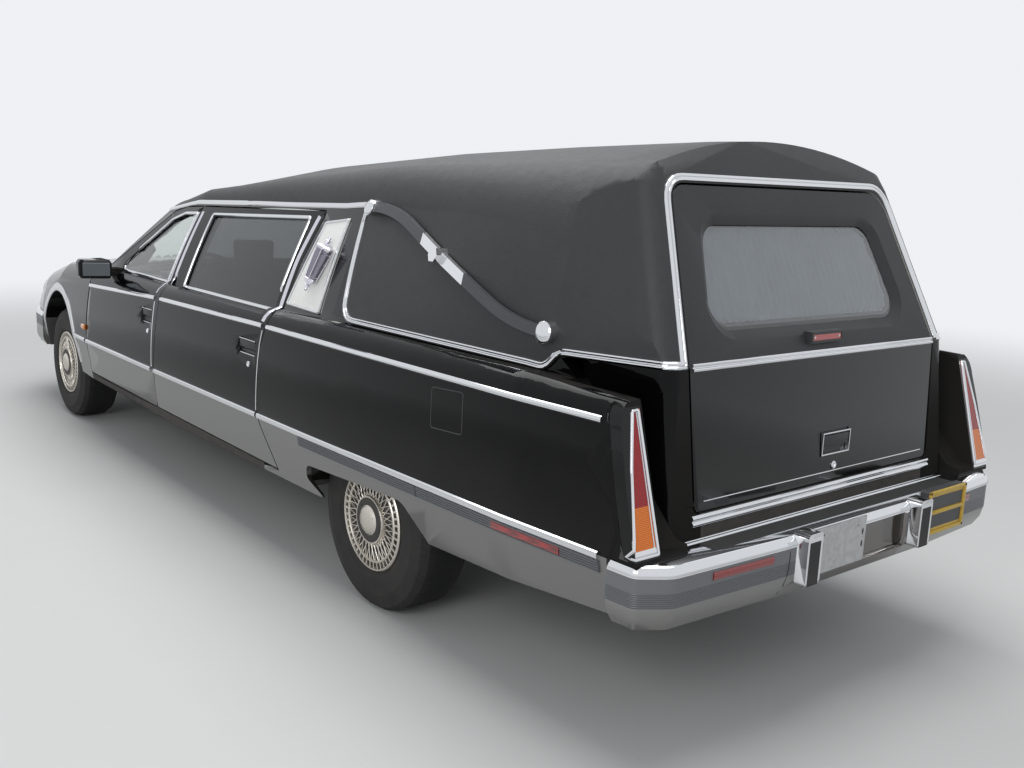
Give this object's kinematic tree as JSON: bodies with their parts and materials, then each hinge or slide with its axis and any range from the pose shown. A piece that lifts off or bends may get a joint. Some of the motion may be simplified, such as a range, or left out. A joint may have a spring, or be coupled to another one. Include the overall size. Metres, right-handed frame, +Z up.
{
  "type": "hearse",
  "caption": "Long-wheelbase funeral car with a vinyl landau roof, hinged doors, hood and rear door, steered front wheels and a casket deck.",
  "frame": {"origin": "on the ground, below the middle of the car's length and width", "axes": "+X forward along the car, +Y to its left, +Z up"},
  "size_m": [6.42, 2.2528, 1.7899],
  "materials": {
    "body_paint": "gloss",
    "cladding": "satin metallic",
    "vinyl": "grained",
    "chrome": "polished",
    "glass": "clear",
    "glass_dark": "tinted",
    "panel_white": "gloss",
    "lamp_red": "gloss",
    "lamp_clear": "gloss",
    "upholstery": "woven",
    "trim_dark": "matte",
    "deck_wood": "varnished",
    "underbody_black": "matte",
    "exhaust_steel": "dull",
    "engine_iron": "matte",
    "wheel_cover": "polished",
    "tyre": "matte"
  },
  "bodies": {
    "body": {"chassis_frame": "underbody_black", "floor_and_cowl": "underbody_black", "roof_shell": "vinyl", "quarter_panel_left": "body_paint", "quarter_panel_right": "body_paint", "fender_left": "body_paint", "fender_right": "body_paint", "nose_panel": "body_paint", "windscreen": "glass", "coach_panels": "panel_white", "coach_lamps": "chrome", "landau_bars": "chrome", "front_bumper": "cladding", "grille": "chrome", "headlamps": "lamp_clear", "rear_bumper": "cladding", "tail_lamps": "lamp_red", "plate_holders": "chrome", "front_seat": "upholstery", "dashboard": "trim_dark", "steering_wheel": "trim_dark", "casket_deck": "deck_wood", "engine": "engine_iron", "fuel_tank": "underbody_black", "exhaust": "exhaust_steel", "rear_axle": "engine_iron"},
    "rear_door": {"rear_door": "body_paint", "rear_door_glass": "glass", "brake_lamp": "lamp_red"},
    "hood": {"hood": "body_paint"},
    "front_door_left": {"front_door_left": "body_paint", "front_door_glass_left": "glass", "mirror_left": "body_paint"},
    "side_door_left": {"side_door_left": "body_paint", "side_door_glass_left": "glass_dark"},
    "knuckle_left": {"knuckle_left": "engine_iron"},
    "front_wheel_left": {"wheel_front_left": "wheel_cover", "tyre_front_left": "tyre"},
    "rear_wheel_left": {"wheel_rear_left": "wheel_cover", "tyre_rear_left": "tyre"},
    "front_door_right": {"front_door_right": "body_paint", "front_door_glass_right": "glass", "mirror_right": "body_paint"},
    "side_door_right": {"side_door_right": "body_paint", "side_door_glass_right": "glass_dark"},
    "knuckle_right": {"knuckle_right": "engine_iron"},
    "front_wheel_right": {"wheel_front_right": "wheel_cover", "tyre_front_right": "tyre"},
    "rear_wheel_right": {"wheel_rear_right": "wheel_cover", "tyre_rear_right": "tyre"}
  },
  "joints": [
    {"name": "rear_door_swing", "type": "hinge", "parent": "body", "child": "rear_door", "pos_m": [-3.012, 0.654, 1.2], "axis": [0, 0, -1], "range_deg": [0, 90]},
    {"name": "hood_lift", "type": "hinge", "parent": "body", "child": "hood", "pos_m": [1.562, 0, 1.075], "axis": [0, -1, 0], "range_deg": [0, 50]},
    {"name": "front_door_left_swing", "type": "hinge", "parent": "body", "child": "front_door_left", "pos_m": [1.37, 0.992, 0.8], "axis": [0, 0, -1], "range_deg": [0, 65]},
    {"name": "side_door_left_swing", "type": "hinge", "parent": "body", "child": "side_door_left", "pos_m": [0.29, 0.992, 0.8], "axis": [0, 0, -1], "range_deg": [0, 65]},
    {"name": "steer_left", "type": "hinge", "parent": "body", "child": "knuckle_left", "pos_m": [2.09, 0.7, 0.352], "axis": [0, 0, 1], "range_deg": [-33, 33]},
    {"name": "front_wheel_left_spin", "type": "hinge", "parent": "knuckle_left", "child": "front_wheel_left", "pos_m": [2.09, 0.784, 0.352], "axis": [0, 1, 0], "continuous": true},
    {"name": "rear_wheel_left_spin", "type": "hinge", "parent": "body", "child": "rear_wheel_left", "pos_m": [-1.66, 0.771, 0.352], "axis": [0, 1, 0], "continuous": true},
    {"name": "front_door_right_swing", "type": "hinge", "parent": "body", "child": "front_door_right", "pos_m": [1.37, -0.992, 0.8], "axis": [0, 0, 1], "range_deg": [0, 65]},
    {"name": "side_door_right_swing", "type": "hinge", "parent": "body", "child": "side_door_right", "pos_m": [0.29, -0.992, 0.8], "axis": [0, 0, 1], "range_deg": [0, 65]},
    {"name": "steer_right", "type": "hinge", "parent": "body", "child": "knuckle_right", "pos_m": [2.09, -0.7, 0.352], "axis": [0, 0, 1], "range_deg": [-33, 33]},
    {"name": "front_wheel_right_spin", "type": "hinge", "parent": "knuckle_right", "child": "front_wheel_right", "pos_m": [2.09, -0.784, 0.352], "axis": [0, 1, 0], "continuous": true},
    {"name": "rear_wheel_right_spin", "type": "hinge", "parent": "body", "child": "rear_wheel_right", "pos_m": [-1.66, -0.771, 0.352], "axis": [0, 1, 0], "continuous": true}
  ],
  "couplings": [
    {"joint": "steer_right", "follows": "steer_left", "ratio": 1}
  ]
}
